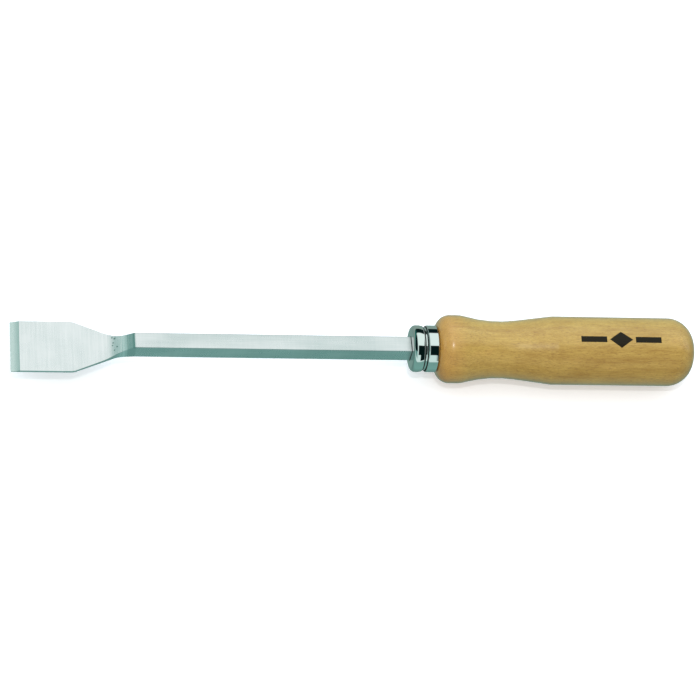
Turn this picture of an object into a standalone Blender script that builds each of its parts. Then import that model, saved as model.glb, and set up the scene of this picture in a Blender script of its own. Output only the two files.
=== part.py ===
"""Flat scraper: one steel forging, a plated ferrule and a turned beech handle.

Metres, +Z up. The tool lies along X with its cutting edge at -X and the ground face of its blade up.
The origin is under the middle of the tool's length, level with the lowest line of its handle.
"""

import math

import bmesh
import bpy
import numpy as np
from mathutils import Matrix, Vector

# The forging, from the cutting edge back
BLADE_WIDTH = 0.0250
BLADE_THICKNESS = 0.0012
BLADE_LIFT = 0.0005  # underside of the blade above the underside of the bar
PARALLEL_LENGTH = 0.0268  # blade with straight sides
NECK_LENGTH = 0.0259  # from there to the full height of the bar
BEVEL_LENGTH = 0.0039
EDGE_THICKNESS = 0.00015
BAR = 0.0076  # square bar, across its flats
BAR_LENGTH = 0.1205  # bar in sight, up to the ferrule
ARRIS = 0.0004  # flat on each long edge of the bar
NECK_FLARE = 0.0004  # neck wider than the bar, each side, where it stops tapering

# The tang, which starts to narrow just before the ferrule
TANG_LEAD = 0.0015
TANG_ROOT_EASE = 0.00035  # narrower than the bar, each side, where the taper steepens
TANG_ROOT_DEPTH = 0.0150  # from the ferrule's front to there
TANG_LENGTH = 0.0620
TANG_TIP = 0.0026  # across the flats

# Where the neck's lines turn, counted forward from the full bar
TAPER_END = 0.0068
UNDERSIDE_END = 0.0070
RAMP_FOOT = 0.0110
RAMP_BREAK = 0.0042
RAMP_BREAK_DROP = 0.0026  # below the bar's top

# The ferrule, from its front back
FERRULE_LENGTH = 0.0110
FERRULE_RADIUS = 0.0102
FERRULE_WALL = 0.0010
BEAD_RADIUS = 0.0103
BEAD_ROUND = 0.0022
GROOVE_RADIUS = 0.0093
GROOVE_AT = 0.0057
SLEEVE_AT = 0.0067

# The handle, from the front of its shoulder back
HANDLE_LENGTH = 0.1155
SHOULDER_ROUND = 0.0075
BULB_RADIUS = 0.0149
BULB_END = 0.0109
BULB_BLEND = 0.0146
WAIST_APEX_AT = 0.0240  # where the cones on either side of the waist would meet
WAIST_APEX_RADIUS = 0.01145
WAIST_BLEND = 0.0580
GRIP_AT = 0.0517
GRIP_RADIUS = 0.0150
GRIP_BLEND = 0.0063
END_ROUND = 0.0115
END_CROWN = 0.0003

FIT = 0.0003  # gap between pieces that touch
SIDES = 48  # facets round each turned piece
TURN = math.radians(9)  # most that one facet of a rounded corner turns

BAR_AT = PARALLEL_LENGTH + NECK_LENGTH
FERRULE_AT = BAR_AT + BAR_LENGTH
HANDLE_AT = FERRULE_AT + FERRULE_LENGTH + FIT
OVERALL = HANDLE_AT + HANDLE_LENGTH
TANG_END = FERRULE_AT + TANG_ROOT_DEPTH + TANG_LENGTH
AXIS_HEIGHT = max(BULB_RADIUS, GRIP_RADIUS)


def clear_scene():
    for thing in list(bpy.data.objects):
        bpy.data.objects.remove(thing)


def material(name, colour, metallic, roughness):
    """A plain Principled material."""
    made = bpy.data.materials.new(name)
    made.use_nodes = True
    shader = made.node_tree.nodes["Principled BSDF"]
    shader.inputs["Base Color"].default_value = (*colour, 1.0)
    shader.inputs["Metallic"].default_value = metallic
    shader.inputs["Roughness"].default_value = roughness
    made.diffuse_color = (*colour, 1.0)
    return made


def place(name, bm, along, parent, finish=None):
    """A mesh object on the tool's axis, its origin the given distance behind the cutting edge."""
    bmesh.ops.recalc_face_normals(bm, faces=bm.faces)
    mesh = bpy.data.meshes.new(name)
    bm.to_mesh(mesh)
    bm.free()
    made = bpy.data.objects.new(name, mesh)
    bpy.context.scene.collection.objects.link(made)
    made.parent = parent
    made.location = (along, 0.0, 0.0)
    if finish:
        mesh.materials.append(finish)
    return made


def fillet(before, corner, after, reach):
    """The points of an arc that rounds a corner, from the given distance before it to as far after it."""
    back = (before - corner).normalized()
    ahead = (after - corner).normalized()
    half = back.angle(ahead) / 2
    centre = corner + (back + ahead).normalized() * reach / math.cos(half)
    spoke = corner + back * reach - centre
    sweep = math.pi - 2 * half
    if back.cross(ahead) > 0:
        sweep = -sweep
    count = max(2, math.ceil(abs(sweep) / TURN))
    return [centre + Matrix.Rotation(sweep * i / count, 2) @ spoke for i in range(count + 1)]


def rounded(corners):
    """A line through corners (along, across, radius), each rounded as far as its two straight runs allow."""
    spots = [Vector(corner[:2]) for corner in corners]
    reaches = [0.0] * len(corners)
    for i in range(1, len(corners) - 1):
        if corners[i][2]:
            half = (spots[i - 1] - spots[i]).angle(spots[i + 1] - spots[i]) / 2
            reaches[i] = corners[i][2] / math.tan(half)
    asked = [one + two for one, two in zip(reaches, reaches[1:])]
    runs = [(after - before).length for before, after in zip(spots, spots[1:])]
    shares = [min(1, 0.98 * run / ask) if ask else 1 for run, ask in zip(runs, asked)]
    line = [spots[0]]
    for i in range(1, len(corners) - 1):
        reach = reaches[i] * min(shares[i - 1], shares[i])
        line += fillet(*spots[i - 1 : i + 2], reach) if reach else [spots[i]]
    return line + [spots[-1]]


def section(bm, x, half_width, low, high):
    """The corners of an upright rectangle across the bar, with its arrises taken off in proportion to its height."""
    cut = ARRIS * (high - low) / BAR
    right = [(half_width, low + cut), (half_width, high - cut), (half_width - cut, high)]
    left = [(-y, z) for y, z in reversed(right)]
    outline = [*right, *left, (cut - half_width, low), (half_width - cut, low)]
    return [bm.verts.new((x, y, z)) for y, z in outline]


def loft(bm, stations):
    """A closed solid through sections (x, half width, low, high)."""
    rings = [section(bm, *station) for station in stations]
    for ring, following in zip(rings, rings[1:]):
        for i in range(len(ring)):
            bm.faces.new((ring[i - 1], ring[i], following[i], following[i - 1]))
    bm.faces.new(rings[0])
    bm.faces.new(rings[-1])


def tang_line():
    """Half the tang's thickness along it, which is the same across its width and its height."""
    return [
        (FERRULE_AT - TANG_LEAD, BAR / 2, 0),
        (FERRULE_AT + TANG_ROOT_DEPTH, BAR / 2 - TANG_ROOT_EASE, 0),
        (TANG_END, TANG_TIP / 2, 0),
    ]


def forging_lines():
    """Half width, underside and top along the forging, each a line of points (along, across)."""
    half_bar = BAR / 2
    under = BLADE_LIFT - half_bar
    face = under + BLADE_THICKNESS
    tang = tang_line()
    width = [
        (0, BLADE_WIDTH / 2, 0),
        (PARALLEL_LENGTH, BLADE_WIDTH / 2, 0.006),
        (BAR_AT - TAPER_END, half_bar + NECK_FLARE, 0.012),
        (BAR_AT, half_bar, 0.012),
        *tang,
    ]
    low = [
        (0, under, 0),
        (PARALLEL_LENGTH, under, 0.100),
        (BAR_AT - UNDERSIDE_END, -half_bar, 0.100),
        *[(along, -half, radius) for along, half, radius in tang],
    ]
    high = [
        (0, under + EDGE_THICKNESS, 0),
        (BEVEL_LENGTH, face, 0),
        (BAR_AT - RAMP_FOOT, face, 0.012),
        (BAR_AT - RAMP_BREAK, half_bar - RAMP_BREAK_DROP, 0.020),
        (BAR_AT, half_bar, 0),
        *tang,
    ]
    return rounded(width), rounded(low), rounded(high)


def blade_and_shank(parent):
    """Blade, neck, square bar and tang, forged in one."""
    lines = forging_lines()
    spots = sorted({round(spot.x, 7) for line in lines for spot in line})
    across = [np.interp(spots, [p.x for p in line], [p.y for p in line]) for line in lines]
    bm = bmesh.new()
    loft(bm, zip(spots, *across))
    steel = material("forged_steel", (0.55, 0.62, 0.61), 1.0, 0.34)
    place("blade_and_shank", bm, 0, parent, steel)


def ferrule_line():
    """The ferrule's outside from the hole in its front, over the bead and groove, to its rear rim."""
    bead = Vector((BEAD_ROUND, BEAD_RADIUS - BEAD_ROUND))
    count = math.ceil(math.pi / 2 / TURN / 2)
    round_over = [
        bead + Matrix.Rotation(-math.pi / 2 * i / count, 2) @ Vector((-BEAD_ROUND, 0)) for i in range(count + 1)
    ]
    rear = [(GROOVE_AT, GROOVE_RADIUS), (SLEEVE_AT, FERRULE_RADIUS), (FERRULE_LENGTH, FERRULE_RADIUS)]
    return [Vector((0, BAR / 4)), *round_over, *map(Vector, rear)]


def inward(line, distance):
    """The same line moved towards the axis, square to each of its runs."""
    runs = [(after - before).normalized() for before, after in zip(line, line[1:])]
    sides = [Vector((run.y, -run.x)) for run in runs]
    pairs = zip([sides[0], *sides], [*sides, sides[-1]])
    return [spot + (one + two) * distance / (1 + one.dot(two)) for spot, (one, two) in zip(line, pairs)]


def turned(outline, closed):
    """A solid turned about X from points (along, radius)."""
    bm = bmesh.new()
    verts = [bm.verts.new((x, 0, radius)) for x, radius in outline]
    edges = [bm.edges.new(pair) for pair in zip(verts, verts[1:])]
    if closed:
        edges.append(bm.edges.new((verts[-1], verts[0])))
    bmesh.ops.spin(
        bm, geom=verts + edges, cent=(0, 0, 0), axis=(1, 0, 0), angle=math.tau, steps=SIDES, use_merge=True
    )
    bmesh.ops.remove_doubles(bm, verts=bm.verts, dist=1e-6)
    return bm


def shade_smooth(made):
    made.data.shade_smooth()
    made.data.set_sharp_from_angle(angle=math.radians(35))


def cutter(name, stations, along, parent):
    """The hidden block that cuts a square hole, through stations (along, half its width)."""
    bm = bmesh.new()
    loft(bm, [(x, half, -half, half) for x, half in stations])
    made = place(name, bm, along, parent)
    made.hide_render = True
    made.display_type = "WIRE"
    return made


def cut_out(made, hole):
    cut = made.modifiers.new(hole.name, "BOOLEAN")
    cut.operation = "DIFFERENCE"
    cut.object = hole


def ferrule(parent):
    """Pressed cap with a rolled bead, a groove and a square hole that the bar passes through."""
    outside = ferrule_line()
    outline = [*outside, *reversed(inward(outside, FERRULE_WALL))]
    bright = material("bright_plating", (0.78, 0.82, 0.80), 1.0, 0.12)
    made = place("ferrule", turned(outline, True), FERRULE_AT, parent, bright)
    half = BAR / 2 + FIT
    ends = (-2 * FERRULE_WALL, 3 * FERRULE_WALL)
    cut_out(made, cutter("bar_hole", [(x, half) for x in ends], FERRULE_AT, parent))
    shade_smooth(made)


def handle_outline():
    """The wood's outline from the middle of its spigot to the middle of its end."""
    ahead = Vector((FERRULE_AT - HANDLE_AT, 0))
    spigot = [spot + ahead for spot in inward(ferrule_line(), FERRULE_WALL + FIT)]
    body = [
        (0, spigot[-1].y, 0),
        (0, BULB_RADIUS, SHOULDER_ROUND),
        (BULB_END, BULB_RADIUS, BULB_BLEND),
        (WAIST_APEX_AT, WAIST_APEX_RADIUS, WAIST_BLEND),
        (GRIP_AT, GRIP_RADIUS, GRIP_BLEND),
        (HANDLE_LENGTH - END_CROWN, GRIP_RADIUS, END_ROUND),
        (HANDLE_LENGTH, 0, 0),
    ]
    return [(spigot[0].x, 0), *spigot[1:-1], *rounded(body)]


def tang_socket(parent):
    """The cutter for the hole in the wood: the bar and tang, with a gap all round."""
    grown = [(along - HANDLE_AT, half + FIT) for along, half, _ in tang_line()]
    tip = grown[-1]
    return cutter("tang_socket", [*grown, (tip[0] + FIT, tip[1])], HANDLE_AT, parent)


def handle(parent):
    """Beech, turned, with a spigot under the ferrule and a socket for the tang."""
    beech = material("lacquered_beech", (0.52, 0.33, 0.12), 0.0, 0.30)
    made = place("handle", turned(handle_outline(), False), HANDLE_AT, parent, beech)
    cut_out(made, tang_socket(parent))
    shade_smooth(made)


def main():
    clear_scene()
    axis = bpy.data.objects.new("scraper_axis", None)
    bpy.context.scene.collection.objects.link(axis)
    axis.location = (-OVERALL / 2, 0.0, AXIS_HEIGHT)
    blade_and_shank(axis)
    ferrule(axis)
    handle(axis)


main()
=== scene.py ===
"""A cranked flat scraper: a forged steel blade and bar, a plated ferrule and a turned beech handle.

It lies on a pale floor in a bright room.
"""

import math

import bpy
import numpy as np
from mathutils import Matrix, Vector


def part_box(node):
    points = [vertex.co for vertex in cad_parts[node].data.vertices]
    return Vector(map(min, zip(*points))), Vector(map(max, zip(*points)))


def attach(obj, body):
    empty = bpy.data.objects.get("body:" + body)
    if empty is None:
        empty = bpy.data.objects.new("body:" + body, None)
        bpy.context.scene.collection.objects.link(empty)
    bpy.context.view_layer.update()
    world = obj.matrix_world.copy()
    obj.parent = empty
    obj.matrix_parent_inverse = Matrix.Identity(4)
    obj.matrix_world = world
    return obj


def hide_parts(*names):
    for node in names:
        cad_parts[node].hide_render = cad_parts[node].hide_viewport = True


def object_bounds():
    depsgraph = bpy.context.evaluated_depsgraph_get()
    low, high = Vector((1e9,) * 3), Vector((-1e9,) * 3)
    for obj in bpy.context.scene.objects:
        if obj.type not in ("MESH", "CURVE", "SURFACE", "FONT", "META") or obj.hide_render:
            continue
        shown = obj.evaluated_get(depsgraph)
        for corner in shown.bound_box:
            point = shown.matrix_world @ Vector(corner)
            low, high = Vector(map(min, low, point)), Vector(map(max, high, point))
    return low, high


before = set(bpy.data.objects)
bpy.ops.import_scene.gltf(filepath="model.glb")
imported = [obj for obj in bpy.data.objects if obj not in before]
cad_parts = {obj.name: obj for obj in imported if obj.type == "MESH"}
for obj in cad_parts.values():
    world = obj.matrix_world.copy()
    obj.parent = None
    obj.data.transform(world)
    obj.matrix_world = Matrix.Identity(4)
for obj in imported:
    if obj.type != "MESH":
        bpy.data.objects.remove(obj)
cad_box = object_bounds()


# The forging. Blade, neck, square bar and tang are one piece of tool steel, drawn down from square bar.
# The blade is ground across its width, the bar is drawn bright, and the tang is driven into the wood.

MM = 0.001
EDGE_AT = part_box("blade_and_shank")[0][0]
FERRULE_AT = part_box("ferrule")[0][0]
HANDLE_FOOT, HANDLE_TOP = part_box("handle")
AXIS_UP = (HANDLE_FOOT[2] + HANDLE_TOP[2]) / 2
BAR = 7.6 * MM
BLADE_WIDTH = 25 * MM
BLADE_THICKNESS = 1.2 * MM
BLADE_LIFT = 0.5 * MM  # its underside over that of the bar
BLADE_UNDER = BLADE_LIFT - BAR / 2  # from the axis
EDGE_THICKNESS = 0.15 * MM
BEVEL_LENGTH = 3.9 * MM
HOLLOW_AT = 0.52 * BEVEL_LENGTH  # the bevel is ground a little hollow
HOLLOW_RISE = 0.32 * MM
HOLLOW_ROUND = 14 * MM
PARALLEL_LENGTH = 26.8 * MM
SHOULDER_ROUND = 6 * MM
BAR_STARTS = 52.7 * MM
NECK_AT = BAR_STARTS - 6.8 * MM
NECK_SPARE = 0.4 * MM  # half the neck over half the bar
NECK_ROUND = 12 * MM
SOLE_MEETS_BAR = BAR_STARTS - 7 * MM
SOLE_ROUND = 100 * MM
RISER_FOOT = BAR_STARTS - 11 * MM
RISER_FOOT_ROUND = 12 * MM
RISER_KNEE = BAR_STARTS - 4.2 * MM
RISER_KNEE_DROP = 2.6 * MM
RISER_KNEE_ROUND = 20 * MM
TANG_STARTS = -1.5 * MM  # from the front of the ferrule, like the next two
TANG_SHOULDER = 15 * MM
TANG_ENDS = 77 * MM
TANG_SHOULDER_LOSS = 0.35 * MM  # off half the bar
TANG_TIP = 2.6 * MM
ARRIS = 0.45 * MM
ARRIS_SHARE = 0.15  # of the arris, where the steel is as thin as the blade
TURN = math.radians(6)  # most that one facet of a rounded corner turns
STEEL_DARK = (174, 177, 177)
STEEL_LIGHT = (223, 214, 216)
BEVEL_DARK = (172, 181, 179)
BEVEL_LIGHT = (218, 219, 217)
# Painted shade in the dents on the neck.
PIT_SHADE = (70, 112, 106)
# Painted shade along the brow of the bar.
BROW_SHADE = (88, 130, 123)
# Painted shade at the ferrule's hole, and scale on the tang inside it.
SCALE_AND_SHADE_BLACK = (40, 50, 48)
DENTS = [  # behind the edge, across, radius
    (44.4 * MM, 3.4 * MM, 0.75 * MM),
    (43.4 * MM, 4.1 * MM, 0.45 * MM),
    (43.8 * MM, 1.4 * MM, 0.5 * MM),
    (43.5 * MM, 0.1 * MM, 0.4 * MM),
    (45.4 * MM, -0.9 * MM, 0.55 * MM),
    (44.2 * MM, -2.4 * MM, 0.45 * MM),
]


def fillet(before, corner, after, reach):
    """The points of an arc that rounds a corner, from the given distance before it to as far after it."""
    back = (before - corner).normalized()
    ahead = (after - corner).normalized()
    half = back.angle(ahead) / 2
    centre = corner + (back + ahead).normalized() * reach / math.cos(half)
    spoke = corner + back * reach - centre
    sweep = math.pi - 2 * half
    if back.cross(ahead) > 0:
        sweep = -sweep
    count = max(2, math.ceil(abs(sweep) / TURN))
    return [centre + Matrix.Rotation(sweep * i / count, 2) @ spoke for i in range(count + 1)]


def rounded(corners):
    """A line through corners (along, across, radius), each rounded as far as its straight runs allow."""
    spots = [Vector(corner[:2]) for corner in corners]
    reaches = [0.0] * len(corners)
    for i in range(1, len(corners) - 1):
        if corners[i][2]:
            half = (spots[i - 1] - spots[i]).angle(spots[i + 1] - spots[i]) / 2
            reaches[i] = corners[i][2] / math.tan(half)
    asked = [one + two for one, two in zip(reaches, reaches[1:])]
    runs = [(after - before).length for before, after in zip(spots, spots[1:])]
    shares = [min(1, 0.98 * run / ask) if ask else 1 for run, ask in zip(runs, asked)]
    line = [spots[0]]
    for i in range(1, len(corners) - 1):
        reach = reaches[i] * min(shares[i - 1], shares[i])
        line += fillet(*spots[i - 1 : i + 2], reach) if reach else [spots[i]]
    return line + [spots[-1]]


def start_editing(name):
    """The new primitive, with its place put into its mesh, open for editing and selected all over."""
    made = bpy.context.object
    made.name = made.data.name = name
    bpy.ops.object.transform_apply(location=True, rotation=True, scale=True)
    bpy.ops.object.mode_set(mode="EDIT")
    bpy.ops.mesh.select_all(action="SELECT")
    return made


def close_mesh(merge=0.001 * MM):
    """Doubled points are merged, normals turned outwards, and the piece is done with editing."""
    bpy.ops.mesh.select_all(action="SELECT")
    bpy.ops.mesh.remove_doubles(threshold=merge)
    bpy.ops.mesh.normals_make_consistent(inside=False)
    bpy.ops.object.mode_set(mode="OBJECT")


def drawn_out(name, stations):
    """A bar drawn out through sections (along, half width, low, high) that are counted from the axis."""
    x, half, low, high = stations[0]
    bpy.ops.object.select_all(action="DESELECT")
    place = (EDGE_AT + x, 0, AXIS_UP + (low + high) / 2)
    bpy.ops.mesh.primitive_plane_add(size=1, location=place, rotation=(0, math.pi / 2, 0))
    made = start_editing(name)
    bpy.ops.mesh.select_mode(type="FACE")
    bpy.ops.transform.resize(value=(1, 2 * half, high - low), center_override=place)
    for (x, half, low, high), (x1, half1, low1, high1) in zip(stations, stations[1:]):
        rise = (low1 + high1 - low - high) / 2
        bpy.ops.mesh.extrude_region_move(TRANSFORM_OT_translate={"value": (x1 - x, 0, rise)})
        centre = (EDGE_AT + x1, 0, AXIS_UP + (low1 + high1) / 2)
        scale = (1, half1 / half, (high1 - low1) / (high - low))
        bpy.ops.transform.resize(value=scale, center_override=centre)
    close_mesh()
    return made


def apply_modifier(piece, kind, **settings):
    """The modifier is added to the piece with these settings and made part of its mesh."""
    bpy.ops.object.select_all(action="DESELECT")
    piece.select_set(True)
    bpy.context.view_layer.objects.active = piece
    modifier = piece.modifiers.new(kind.lower(), kind)
    for setting, value in settings.items():
        setattr(modifier, setting, value)
    bpy.ops.object.modifier_apply(modifier=modifier.name)


def smooth(piece, degrees):
    """Faces that meet at less than this angle are shaded as one."""
    bpy.ops.object.select_all(action="DESELECT")
    piece.select_set(True)
    bpy.context.view_layer.objects.active = piece
    bpy.ops.object.shade_smooth_by_angle(angle=math.radians(degrees))


class Shade:
    """A shader socket that takes part in Python sums, and the one way in which a node is added."""

    def __init__(self, tree, socket=None):
        self.tree = tree
        self.socket = socket

    def add(self, kind, settings=None, sockets=None, out=0):
        node = self.tree.nodes.new("ShaderNode" + kind)
        for name, value in (settings or {}).items():
            if name == "stops":
                ramp = node.color_ramp.elements
                while len(ramp) < len(value):
                    ramp.new(0.5)
                for stop, (at, colour) in zip(ramp, value):
                    stop.position = at
                    stop.color = (*colour, 1)
            else:
                setattr(node, name, value)
        for name, value in (sockets or {}).items():
            if isinstance(value, Shade):
                self.tree.links.new(value.socket, node.inputs[name])
            else:
                node.inputs[name].default_value = value
        return Shade(self.tree, node.outputs[out])

    def maths(self, operation, *terms):
        return self.add("Math", {"operation": operation}, dict(enumerate(terms)))

    def __add__(self, other):
        return self.maths("ADD", self, other)

    __radd__ = __add__

    def __sub__(self, other):
        return self.maths("SUBTRACT", self, other)

    def __rsub__(self, other):
        return self.maths("SUBTRACT", other, self)

    def __mul__(self, other):
        return self.maths("MULTIPLY", self, other)

    def __truediv__(self, other):
        return self.maths("DIVIDE", self, other)

    def __abs__(self):
        return self.maths("ABSOLUTE", self)

    def root(self):
        """The square root."""
        return self.add("Math", {"operation": "SQRT"}, {0: self})

    def ramp(self, low, high, start=0.0, end=1.0):
        """A soft step from start to end as the value goes from low to high."""
        limits = {"Value": self, "From Min": low, "From Max": high, "To Min": start, "To Max": end}
        return self.add("MapRange", {"interpolation_type": "SMOOTHSTEP"}, limits)

    def mix(self, one, other):
        """A colour from one to the other as the value goes from 0 to 1."""
        return self.add("Mix", {"data_type": "RGBA"}, {0: self, 6: one, 7: other}, out=2)

    def noise(self, scale, size=1, detail=2, rough=0.5, twist=0):
        """Noise with its grains stretched: scale is how many to the metre along each axis."""
        spread = self.add("Mapping", {}, {"Vector": self, "Scale": tuple(part * size for part in scale)})
        grains = {"Vector": spread, "Scale": 1, "Detail": detail, "Roughness": rough, "Distortion": twist}
        return self.add("TexNoise", {}, grains)


def finish(name, **constants):
    """A Principled material: its object coordinates, split into along, across and up, and its shader."""
    made = bpy.data.materials.new(name)
    made.use_nodes = True
    tree = made.node_tree
    shader = tree.nodes["Principled BSDF"]
    for socket, value in constants.items():
        shader.inputs[socket.replace("_", " ")].default_value = value
    place = Shade(tree).add("TexCoord", out="Object")
    split = place.add("SeparateXYZ", {}, {"Vector": place})
    parts = [Shade(tree, socket) for socket in split.socket.node.outputs]
    return made, shader, place, parts


def feed(shader, **sockets):
    """What changes over the surface goes into the shader."""
    for name, value in sockets.items():
        value.tree.links.new(value.socket, shader.inputs[name.replace("_", " ")])


def colour(red, green, blue):
    """A colour given as it looks, from 0 to 255, in the linear values that the shader takes."""
    parts = [part / 255 for part in (red, green, blue)]
    linear = [part / 12.92 if part <= 0.04045 else ((part + 0.055) / 1.055) ** 2.4 for part in parts]
    return (*linear, 1)


half_bar = BAR / 2
face = BLADE_UNDER + BLADE_THICKNESS
ferrule_from_edge = FERRULE_AT - EDGE_AT
tang = [
    (ferrule_from_edge + TANG_STARTS, half_bar, 0),
    (ferrule_from_edge + TANG_SHOULDER, half_bar - TANG_SHOULDER_LOSS, 0),
    (ferrule_from_edge + TANG_ENDS, TANG_TIP / 2, 0),
]
width_line = rounded([
    (0, BLADE_WIDTH / 2, 0),
    (PARALLEL_LENGTH, BLADE_WIDTH / 2, SHOULDER_ROUND),
    (NECK_AT, half_bar + NECK_SPARE, NECK_ROUND),
    (BAR_STARTS, half_bar, NECK_ROUND),
    *tang,
])
under_line = rounded([
    (0, BLADE_UNDER, 0),
    (PARALLEL_LENGTH, BLADE_UNDER, SOLE_ROUND),
    (SOLE_MEETS_BAR, -half_bar, SOLE_ROUND),
    *[(along, -half, radius) for along, half, radius in tang],
])
top_line = rounded([
    (0, BLADE_UNDER + EDGE_THICKNESS, 0),
    (HOLLOW_AT, BLADE_UNDER + EDGE_THICKNESS + HOLLOW_RISE, HOLLOW_ROUND),
    (BEVEL_LENGTH, face, 0),
    (RISER_FOOT, face, RISER_FOOT_ROUND),
    (RISER_KNEE, half_bar - RISER_KNEE_DROP, RISER_KNEE_ROUND),
    (BAR_STARTS, half_bar, 0),
    *tang,
])
lines = (width_line, under_line, top_line)
stops = sorted({round(spot.x, 7) for line in lines for spot in line})
sizes = [np.interp(stops, [spot.x for spot in line], [spot.y for spot in line]) for line in lines]
stations = [tuple(map(float, station)) for station in zip(stops, *sizes)]
blade_and_shank = drawn_out("blade_and_bar", stations)

weights = blade_and_shank.data.attributes.new("bevel_weight_edge", "FLOAT", "EDGE")
for edge in blade_and_shank.data.edges:
    ends = [blade_and_shank.data.vertices[i].co for i in edge.vertices]
    if abs(ends[0].x - ends[1].x) > 0.01 * MM:
        along = min(end.x for end in ends) - EDGE_AT
        depth = np.interp(along, stops, sizes[2] - sizes[1])
        weights.data[edge.index].value = min(1, ARRIS_SHARE * depth / BLADE_THICKNESS)
apply_modifier(
    blade_and_shank, "BEVEL", limit_method="WEIGHT", width=ARRIS, segments=3, use_clamp_overlap=False
)
smooth(blade_and_shank, 9)

steel, shader, place, (along, across, up) = finish("ground_steel", Specular_IOR_Level=0.05)
from_edge = along - EDGE_AT
fine_lines = place.noise((5200, 70, 70), detail=3)
broad_lines = place.noise((1100, 40, 40), detail=3)
on_top = up.ramp(AXIS_UP - half_bar + 1.2 * MM, AXIS_UP - half_bar + 1.6 * MM)
patches = place.noise((75, 130, 130), detail=3)
drawn = place.noise((70, 2200, 2200), detail=3)
grit = place.noise((1900, 1300, 1300), detail=3, rough=0.65)
on_bar = from_edge.ramp(BAR_STARTS - 1 * MM, BAR_STARTS + 1 * MM)
on_bevel = 1 - from_edge.ramp(BEVEL_LENGTH - 0.1 * MM, BEVEL_LENGTH + 0.1 * MM)
on_riser = from_edge.ramp(BAR_STARTS - 8 * MM, BAR_STARTS - 4 * MM) * (1 - on_bar)
blade_lines = (fine_lines - 0.5) * 0.30 + (broad_lines - 0.5) * 0.30 - 0.10
worn = place.noise((28, 60, 60), detail=2)
bar_lines = (drawn - 0.5) * 0.30 + (broad_lines - 0.5) * 0.15 + (worn - 0.5) * 1.0 - 0.28
# Painted light and shade go in with the grinding marks: the bevel is darker towards its heel, where it is
# ground hollow, and the riser is lighter at its foot and darker towards the brow.
hollow = from_edge.ramp(1.2 * MM, 3.2 * MM)
near_brow = from_edge.ramp(BAR_STARTS - 5 * MM, BAR_STARTS - 1 * MM)
grinding_and_painted_shade = ((grit - 0.5) * 0.6 - 0.3 - hollow * 0.4) * on_bevel
grinding_and_painted_shade = grinding_and_painted_shade + ((fine_lines - 0.5) * 1.4 + 0.36 - near_brow * 1.15) * on_riser
tone = (patches - 0.5) * 0.35 + blade_lines * (1 - on_bar) + bar_lines * on_bar + grinding_and_painted_shade
light = (tone + 0.60).ramp(0, 1)
shown = light.mix(colour(*STEEL_DARK), colour(*STEEL_LIGHT))
shown = on_bevel.mix(shown, light.mix(colour(*BEVEL_DARK), colour(*BEVEL_LIGHT)))
# The dents are real; their dark colour is painted shade.
pits = 0
for at, beside, wide in DENTS:
    gap = ((from_edge - at) * (from_edge - at) + (across - beside) * (across - beside)).root()
    pits = (1 - (gap + (grit - 0.5) * (1.6 * wide)).ramp(0.3 * wide, wide)) + pits
pits = pits * on_top * (0.5 + grit)
bar_top = AXIS_UP + half_bar
# Painted shade: a darker, grainy line along the brow, where the riser meets the top of the bar.
brow = 1 - abs(from_edge - (BAR_STARTS - 0.4 * MM)).ramp(0.1 * MM, 0.9 * MM)
brow = brow * up.ramp(bar_top - 1.4 * MM, bar_top - 0.4 * MM)
shown = (pits * 0.8).mix(shown, colour(*PIT_SHADE))
shown = (brow * (grit * 0.8)).mix(shown, colour(*BROW_SHADE))
# Black from just before the front of the ferrule: painted shade where the bar goes into its hole, and scale
# on the tang hidden inside.
scale_and_entry_shade = from_edge.ramp(ferrule_from_edge - 0.35 * MM, ferrule_from_edge - 0.05 * MM)
shown = scale_and_entry_shade.mix(shown, colour(*SCALE_AND_SHADE_BLACK))
relief = tone - pits * 1.2
dullness = 0.28 + (patches - 0.5) * 0.25 + (grit - 0.5) * 0.12
feed(
    shader,
    Base_Color=shown,
    Metallic=1 - scale_and_entry_shade * 0.9,
    Roughness=dullness + pits * 0.2 - on_riser * 0.1 + scale_and_entry_shade * 0.4,
    Normal=relief.add("Bump", {}, {"Height": relief, "Strength": 0.4, "Distance": 0.1 * MM}),
)
blade_and_shank.data.materials.append(steel)
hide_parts("blade_and_shank")
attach(blade_and_shank, "root")


# The ferrule. A cap pressed from sheet brass and plated bright: a bead with a square hole for the bar, a
# groove and a plain sleeve. It is forced over the spigot of the handle and keeps the wood from splitting.

FERRULE_LENGTH = 11 * MM
FERRULE_RADIUS = 10.2 * MM
FERRULE_WALL = 1 * MM
BEAD_RADIUS = 10.3 * MM
BEAD_ROUND = 2.2 * MM
BEAD_FRONT_LOSS = 0.35 * MM  # the bead is lower at its ends than at its crest
BEAD_BACK_LOSS = 0.4 * MM
BEAD_BACK_ROUND = 0.7 * MM
CREST_AT = 3 * MM
CREST_ROUND = 8 * MM
GROOVE_RADIUS = 9.3 * MM
GROOVE_AT = 5.7 * MM
GROOVE_FLOOR = 0.3 * MM  # half its width
GROOVE_MOUTH = 0.75 * MM  # as far as the bead
SLEEVE_AT = 6.7 * MM
SLEEVE_ROUND = 1.2 * MM
SMALL_ROUND = 0.25 * MM
RIM_LOSS = 0.4 * MM
INNER_CORNER = 1.2 * MM
INNER_GROOVE_FRONT = 1.2 * MM  # before the middle of the groove
INNER_GROOVE_BACK = 0.4 * MM  # past the start of the sleeve
FIT = 0.3 * MM
OVERLAP = 0.8 * MM  # the turned hole is smaller than the square that is cut out of it
SIDES = 96
PLATING_LIGHT = (195, 196, 193)
PLATING_DULL = (165, 169, 166)
# Painted shade in the ferrule's groove and round the bar's hole.
PLATING_SHADE_BLACK = (14, 26, 25)


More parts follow.
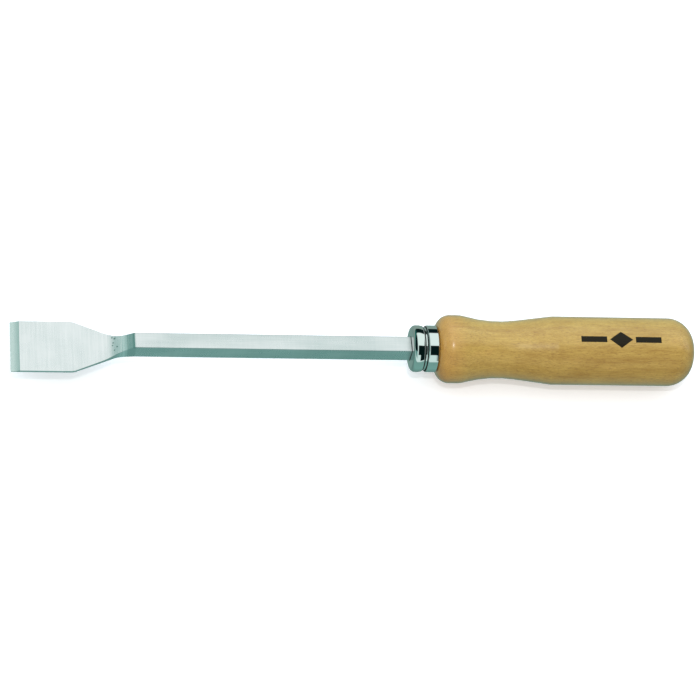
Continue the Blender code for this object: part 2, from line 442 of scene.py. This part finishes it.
def turned(name, outline):
    """A ring drawn out along an outline (along, radius), open at both ends and still in edit mode."""
    x, radius = outline[0]
    bpy.ops.object.select_all(action="DESELECT")
    bpy.ops.mesh.primitive_circle_add(
        vertices=SIDES, radius=radius, location=(x, 0, AXIS_UP), rotation=(0, math.pi / 2, 0)
    )
    made = start_editing(name)
    bpy.ops.mesh.select_mode(type="EDGE")
    for (x, radius), (x1, radius1) in zip(outline, outline[1:]):
        bpy.ops.mesh.extrude_region_move(TRANSFORM_OT_translate={"value": (x1 - x, 0, 0)})
        grow = radius1 / radius
        bpy.ops.transform.resize(value=(1, grow, grow), center_override=(x1, 0, AXIS_UP))
    return made


hole = half_bar - OVERLAP
outside = rounded([
    (0, hole, 0),
    (0, BEAD_RADIUS - BEAD_FRONT_LOSS, BEAD_ROUND),
    (CREST_AT, BEAD_RADIUS, CREST_ROUND),
    (GROOVE_AT - GROOVE_MOUTH, BEAD_RADIUS - BEAD_BACK_LOSS, BEAD_BACK_ROUND),
    (GROOVE_AT - GROOVE_FLOOR, GROOVE_RADIUS, SMALL_ROUND),
    (GROOVE_AT + GROOVE_FLOOR, GROOVE_RADIUS, SMALL_ROUND),
    (SLEEVE_AT - 0.25 * MM, FERRULE_RADIUS, SLEEVE_ROUND),
    (FERRULE_LENGTH - 0.1 * MM, FERRULE_RADIUS, SMALL_ROUND),
    (FERRULE_LENGTH, FERRULE_RADIUS - RIM_LOSS, 0),
])
inner_radius = FERRULE_RADIUS - FERRULE_WALL
inside = [
    (FERRULE_LENGTH, inner_radius),
    (SLEEVE_AT + INNER_GROOVE_BACK, inner_radius),
    (GROOVE_AT, GROOVE_RADIUS - FERRULE_WALL),
    (GROOVE_AT - INNER_GROOVE_FRONT, inner_radius),
    (FERRULE_WALL + INNER_CORNER, inner_radius),
    (FERRULE_WALL, inner_radius - INNER_CORNER),
    (FERRULE_WALL, hole),
]
section = [*map(tuple, outside), *inside, tuple(outside[0])]
ferrule = turned("ferrule_cap", [(FERRULE_AT + x, radius) for x, radius in section])
close_mesh()
passage = half_bar + FIT
cutter = drawn_out("bar_hole", [
    (ferrule_from_edge + along, passage, -passage, passage) for along in (-1 * MM, FERRULE_WALL + 1 * MM)
])
apply_modifier(ferrule, "BOOLEAN", operation="DIFFERENCE", solver="EXACT", object=cutter)
bpy.data.objects.remove(cutter)
smooth(ferrule, 40)

plating, shader, place, (along, across, up) = finish("bright_plating", Specular_IOR_Level=0.05)
spun = place.noise((3500, 25, 25), detail=2)
specks = place.noise((700, 700, 700), detail=3, rough=0.65)
dull = specks.ramp(0.56, 0.75)
height = up - AXIS_UP
radius = (across * across + height * height).root()
in_groove = 1 - abs(along - FERRULE_AT - GROOVE_AT).ramp(0.9 * MM, 1.2 * MM)
# Painted shade: the walls of the groove are dark, dull and not metallic.
walls = (1 - abs(radius - (GROOVE_RADIUS + 0.4 * MM)).ramp(0.15 * MM, 0.38 * MM)) * in_groove
shown = (dull * 0.4 + (spun - 0.5) * 0.2).ramp(0, 1)
shown = shown.mix(colour(*PLATING_LIGHT), colour(*PLATING_DULL))
# Painted shade: a dark ring round the square hole where the bar goes in.
square = abs(across).maths("MAXIMUM", abs(height))
hole_edge_shade = 1 - (square - passage).ramp(0.05 * MM, 0.3 * MM)
groove_and_hole_shade = (walls + hole_edge_shade).ramp(0, 1)
shown = groove_and_hole_shade.mix(shown, colour(*PLATING_SHADE_BLACK))
feed(
    shader,
    Base_Color=shown,
    Metallic=1 - groove_and_hole_shade,
    Roughness=groove_and_hole_shade * 0.7,
    Normal=spun.add("Bump", {}, {"Height": spun, "Strength": 0.05, "Distance": 0.05 * MM}),
)
ferrule.data.materials.append(plating)
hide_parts("ferrule")
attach(ferrule, "root")


# The handle. Steamed beech, turned to the usual file-handle shape with a bulb, a waist and a plain grip,
# bored for the tang, sanded and dipped in clear lacquer. A plain mark is printed along the top of the grip.

HANDLE_AT = FERRULE_AT + FERRULE_LENGTH + FIT
HANDLE_LENGTH = HANDLE_TOP[0] - HANDLE_AT
BULB_RADIUS = 14.9 * MM
BULB_FRONT_ROUND = 7.5 * MM
BULB_ENDS = 10.9 * MM
BULB_BACK_ROUND = 14.6 * MM
WAIST_AT = 24 * MM
WAIST_RADIUS = 11.45 * MM  # where the cones on either side of the waist would meet
WAIST_ROUND = 58 * MM
GRIP_RADIUS = 15 * MM
GRIP_STARTS = 51.7 * MM
GRIP_ROUND = 6.3 * MM
END_ROUND = 11.5 * MM
END_DOME = 0.3 * MM
END_FLAT = 0.4 * MM
SPIGOT_GROOVE_FRONT = 1.4 * MM
SPIGOT_GROOVE_BACK = 0.6 * MM
MARK_AT = HANDLE_AT + 79.8 * MM
MARK_TURN = math.radians(12)  # from the top of the handle towards the front
LOZENGE_LENGTH = 5.2 * MM  # half of it, as are the two widths
LOZENGE_WIDTH = 3.8 * MM
STRIPE_FROM = 6.4 * MM  # from the middle of the lozenge, on either side
STRIPE_TO = 18 * MM
STRIPE_WIDTH = 1.35 * MM
BEECH_DARK = (156, 113, 37)
BEECH_LIGHT = (212, 178, 88)
BEECH_WARM = (205, 132, 62)
FLECK_BROWN = (132, 84, 34)
PORE_BROWN = (120, 76, 32)
# Painted shade on the spigot inside the ferrule.
SPIGOT_SHADE = (58, 44, 32)
INK = (12, 11, 8)

to_wood = FERRULE_AT - HANDLE_AT
spigot_radius = inner_radius - FIT
spigot = [
    (to_wood + FERRULE_WALL + FIT, half_bar + 1 * MM),
    (to_wood + FERRULE_WALL + FIT, spigot_radius - INNER_CORNER),
    (to_wood + FERRULE_WALL + FIT + INNER_CORNER, spigot_radius),
    (to_wood + GROOVE_AT - SPIGOT_GROOVE_FRONT, spigot_radius),
    (to_wood + GROOVE_AT, GROOVE_RADIUS - FERRULE_WALL - FIT),
    (to_wood + SLEEVE_AT + SPIGOT_GROOVE_BACK, spigot_radius),
]
body = rounded([
    (0, spigot_radius, 0),
    (0, BULB_RADIUS, BULB_FRONT_ROUND),
    (BULB_ENDS, BULB_RADIUS, BULB_BACK_ROUND),
    (WAIST_AT, WAIST_RADIUS, WAIST_ROUND),
    (GRIP_STARTS, GRIP_RADIUS, GRIP_ROUND),
    (HANDLE_LENGTH - END_DOME, GRIP_RADIUS, END_ROUND),
    (HANDLE_LENGTH, END_FLAT, 0),
])
outline = [*spigot, *map(tuple, body)]
handle = turned("beech_handle", [(HANDLE_AT + x, radius) for x, radius in outline])
bpy.ops.mesh.extrude_region_move(TRANSFORM_OT_translate={"value": (0, 0, 0)})
bpy.ops.mesh.merge(type="CENTER")
bpy.ops.mesh.select_all(action="DESELECT")
bpy.ops.mesh.select_non_manifold()
bpy.ops.mesh.edge_face_add()
close_mesh()

grown = [(along, half + FIT) for along, half, _ in tang]
grown.append((grown[-1][0] + FIT, grown[-1][1]))
cutter = drawn_out("tang_hole", [(along, half, -half, half) for along, half in grown])
apply_modifier(handle, "BOOLEAN", operation="DIFFERENCE", solver="EXACT", object=cutter)
bpy.data.objects.remove(cutter)
smooth(handle, 30)

wood, shader, place, (along, across, up) = finish(
    "lacquered_beech", Metallic=0.0, Coat_Roughness=0.30, Coat_IOR=1.57, Specular_IOR_Level=0.12
)
height = up - AXIS_UP
from_wood = along - HANDLE_AT
fibres = place.noise((150, 2600, 2600), detail=4, rough=0.65)
streaks = place.noise((26, 420, 420), detail=4, rough=0.6, twist=0.3)
clouds = place.noise((60, 150, 150), detail=3, rough=0.6)
rings = place.noise((9, 170, 60), detail=3, twist=0.6)
flecks = place.noise((560, 3600, 3600), detail=2).ramp(0.56, 0.67)
pores = place.noise((1100, 5200, 5200), detail=1).ramp(0.56, 0.64)
shade = (fibres - 0.5) * 0.8 + (streaks - 0.5) * 0.45 + (clouds - 0.5) * 0.5 + (rings - 0.5) * 0.35
bare = (shade + 0.5).ramp(0, 1).mix(colour(*BEECH_DARK), colour(*BEECH_LIGHT))
warm = (1 - from_wood.ramp(0, 14 * MM)) * 0.35 + clouds.ramp(0.55, 0.75) * 0.12
grain = warm.mix(bare, colour(*BEECH_WARM))
grain = (flecks * 0.5).mix(grain, colour(*FLECK_BROWN))
grain = (pores * 0.20).mix(grain, colour(*PORE_BROWN))
# Painted shade: the spigot, seen in the gap inside the ferrule, is darkened.
grain = from_wood.ramp(-1 * MM, -2 * MM).mix(grain, colour(*SPIGOT_SHADE))

round_top = across.maths("ARCTAN2", across * -1, height) * GRIP_RADIUS
beside = round_top - MARK_TURN * GRIP_RADIUS
ahead = abs(along - MARK_AT)
lozenge = 1 - (ahead / LOZENGE_LENGTH + abs(beside) / LOZENGE_WIDTH).ramp(0.97, 1.03)
stripes = 1 - (abs(beside) - STRIPE_WIDTH).ramp(-0.05 * MM, 0.05 * MM)
stripes = stripes * ahead.ramp(STRIPE_FROM, STRIPE_FROM + 0.1 * MM)
stripes = stripes * (1 - ahead.ramp(STRIPE_TO, STRIPE_TO + 0.1 * MM))
mark = (lozenge + stripes).ramp(0, 1) * height.ramp(0, 1 * MM)
relief = fibres * 0.3 - flecks * 0.5 - pores * 0.3
feed(
    shader,
    Base_Color=(mark * 0.98).mix(grain, colour(*INK)),
    Roughness=0.13 + (fibres - 0.5) * 0.06 + flecks * 0.08,
    Coat_Weight=0.95 - mark * 1.3 + (clouds - 0.5) * 0.3,
    Normal=relief.add("Bump", {}, {"Height": relief, "Strength": 0.2, "Distance": 0.05 * MM}),
)
handle.data.materials.append(wood)
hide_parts("handle")
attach(handle, "root")


# The floor, the light and the camera. The tool lies on a plain white floor in a bright room: a long soft
# box hangs overhead and behind, the rest of the room is dimmer, and one small lamp is above the front.
# Surfaces that mirror the room sharply see its edges and doorways; the duller ones see it blurred.

FLOOR_SIZE = 8
FLOOR_WHITE = 0.92
FLOOR_GLOW = 0.33
SHINE = 0.5  # how much brighter the room is in reflections
SOFT_BOX = (0.84, 1.0, 0.98)
SOFT_BOX_BLURRED = (0.86, 1.0, 0.98)
FRONT_WALL = (0.66, 0.86, 0.84)
GAP_BLACK = (0.003, 0.012, 0.012)
FAR_FLOOR = (0.26, 0.36, 0.33)
DOORWAY_BLACK = (0.002, 0.010, 0.010, 1)
LEFT_WALL = (0.03, 0.21, 0.185, 1)
LEFT_WALL_BLURRED = (0.105, 0.37, 0.32, 1)
LAMP_OVER = 192 * MM  # from the edge: the front of the bulb
LAMP_AWAY = 1.2
LAMP_SIZE = 0.04
LAMP_POWER = 2.4
VIEW_UP = math.radians(57.45)
VIEW_TURN = math.radians(10.2)
VIEW_ROLL = math.radians(0.817)
VIEW_AWAY = 1.28
FOCAL = 4.21429  # of the image's width
SENSOR = 36
AIM_LEFT = 0.002627 * VIEW_AWAY
AIM_DOWN = 0.000746 * VIEW_AWAY

bpy.ops.object.select_all(action="DESELECT")
bpy.ops.mesh.primitive_plane_add(size=FLOOR_SIZE, location=(0, 0, 0))
floor = bpy.context.object
floor.name = "studio_floor"
paint, shader, *_ = finish("white_floor", Roughness=0.9, Specular_IOR_Level=0.1)
shader.inputs["Base Color"].default_value = (FLOOR_WHITE, FLOOR_WHITE, FLOOR_WHITE, 1)
shader.inputs["Emission Color"].default_value = (1, 1, 1, 1)
shader.inputs["Emission Strength"].default_value = FLOOR_GLOW
floor.data.materials.append(paint)
floor.visible_glossy = False
floor.visible_diffuse = False

room = bpy.data.worlds.new("studio")
bpy.context.scene.world = room
room.use_nodes = True
tree = room.node_tree
tree.nodes.clear()
way = Shade(tree).add("TexCoord", out="Generated")
split = way.add("SeparateXYZ", {}, {"Vector": way})
right, back, above = [Shade(tree, socket) for socket in split.socket.node.outputs]
tilt = above.maths("ARCTAN2", above, back * -1) / math.tau + 0.5


def heights(degrees):
    """The room's light by height: from the floor behind, under it, up the front and over the top."""
    return tilt.add("ValToRGB", {"stops": [(0.5 + at / 360, tint) for at, tint in degrees]}, {"Fac": tilt})


def between(low, high, soft):
    """One where the way is between two heights, in degrees from the floor in front, over the top."""
    rise = tilt.ramp(0.5 + low / 360, 0.5 + (low + soft) / 360)
    return rise * (1 - tilt.ramp(0.5 + (high - soft) / 360, 0.5 + high / 360))


floor_light = [
    (-180, FAR_FLOOR),
    (-95, (0.12, 0.23, 0.21)),
    (-57, (0.185, 0.395, 0.36)),
    (-14, (0.185, 0.37, 0.34)),
]
crisp = heights([
    *floor_light,
    (-10, FRONT_WALL),
    (30, FRONT_WALL),
    (84, SOFT_BOX),
    (140, SOFT_BOX),
    (144, GAP_BLACK),
    (172, GAP_BLACK),
    (175, FAR_FLOOR),
])
left = right.ramp(-1.0, 0.0, 1, 0) * above.ramp(0, 0.15)
crisp = left.mix(crisp, LEFT_WALL)
rim = 1 - right.ramp(-0.42, -0.36)
doorway = between(24, 75, 4) * right.ramp(-0.08, -0.02)
doorstep = between(-8, 60, 4) * right.ramp(0.21, 0.26)
far_right = between(70, 144, 4) * right.ramp(0.50, 0.60)
dark = (rim * between(40, 144, 6) + doorway + doorstep + far_right).ramp(0, 1)
crisp = dark.mix(crisp, DOORWAY_BLACK)
blurred = heights([
    *floor_light,
    (12, (0.30, 0.44, 0.42)),
    (50, (0.16, 0.25, 0.24)),
    (70, (0.20, 0.28, 0.27)),
    (86, SOFT_BOX_BLURRED),
    (138, SOFT_BOX_BLURRED),
    (152, (0.42, 0.53, 0.51)),
    (175, (0.28, 0.38, 0.36)),
])
left = right.ramp(-0.9, -0.2, 1, 0) * right.ramp(-1.0, -0.88) * above.ramp(0, 0.15)
blurred = left.mix(blurred, LEFT_WALL_BLURRED)
dome = above.ramp(-0.25, 0.35).mix((0.38, 0.30, 0.21, 1), (1.00, 1.01, 1.02, 1))
dome = (back.ramp(-0.2, 0.9) * above.ramp(-0.1, 0.2)).mix(dome, (1.50, 1.86, 2.2, 1))
dome = right.ramp(-0.3, 1.0, 0, 0.4).mix(dome, (0.30, 0.28, 0.24, 1))
diffuse = Shade(tree).add("LightPath", out="Is Diffuse Ray")
shiny = Shade(tree, diffuse.socket.node.outputs["Is Glossy Ray"])
mirrored = Shade(tree, diffuse.socket.node.outputs["Is Singular Ray"])
lit = diffuse.mix((1, 1, 1, 1), dome)
lit = shiny.mix(lit, blurred)
lit = mirrored.mix(lit, crisp)
glow = lit.add("Background", {}, {"Color": lit, "Strength": 1 + shiny * SHINE})
world_out = tree.nodes.new("ShaderNodeOutputWorld")
tree.links.new(glow.socket, world_out.inputs["Surface"])

bulb_front = Vector((EDGE_AT + LAMP_OVER, 0, AXIS_UP))
toward_lamp = Vector((-0.12, -0.32, 0.94)).normalized()
bpy.ops.object.select_all(action="DESELECT")
bpy.ops.object.light_add(type="AREA", location=bulb_front + toward_lamp * LAMP_AWAY)
lamp = bpy.context.object
lamp.name = "small_lamp"
lamp.data.shape = "DISK"
lamp.data.size = LAMP_SIZE
lamp.data.energy = LAMP_POWER
lamp.rotation_euler = toward_lamp.to_track_quat("Z", "Y").to_euler()

middle = Vector(((cad_box[0][0] + cad_box[1][0]) / 2, 0, AXIS_UP))
facing = Vector((0, -math.cos(VIEW_UP), math.sin(VIEW_UP)))
out = Vector((-math.sin(VIEW_TURN), *(facing * math.cos(VIEW_TURN)).yz))
side = Vector((math.cos(VIEW_TURN), *(facing * math.sin(VIEW_TURN)).yz))
top = Vector((0, math.sin(VIEW_UP), math.cos(VIEW_UP)))
side, top = (
    side * math.cos(VIEW_ROLL) + top * math.sin(VIEW_ROLL),
    top * math.cos(VIEW_ROLL) - side * math.sin(VIEW_ROLL),
)
stand = middle + out * VIEW_AWAY
aim = middle - side * AIM_LEFT - top * AIM_DOWN
out = (stand - aim).normalized()
side = (side - out * side.dot(out)).normalized()
top = out.cross(side)
bpy.ops.object.camera_add()
camera = bpy.context.object
camera.name = "camera"
camera.matrix_world = Matrix.Translation(stand) @ Matrix((side, top, out)).transposed().to_4x4()
camera.data.sensor_width = SENSOR
camera.data.lens = SENSOR * FOCAL
camera.data.clip_start = 0.01
bpy.context.scene.camera = camera
bpy.context.scene.view_settings.view_transform = "Standard"
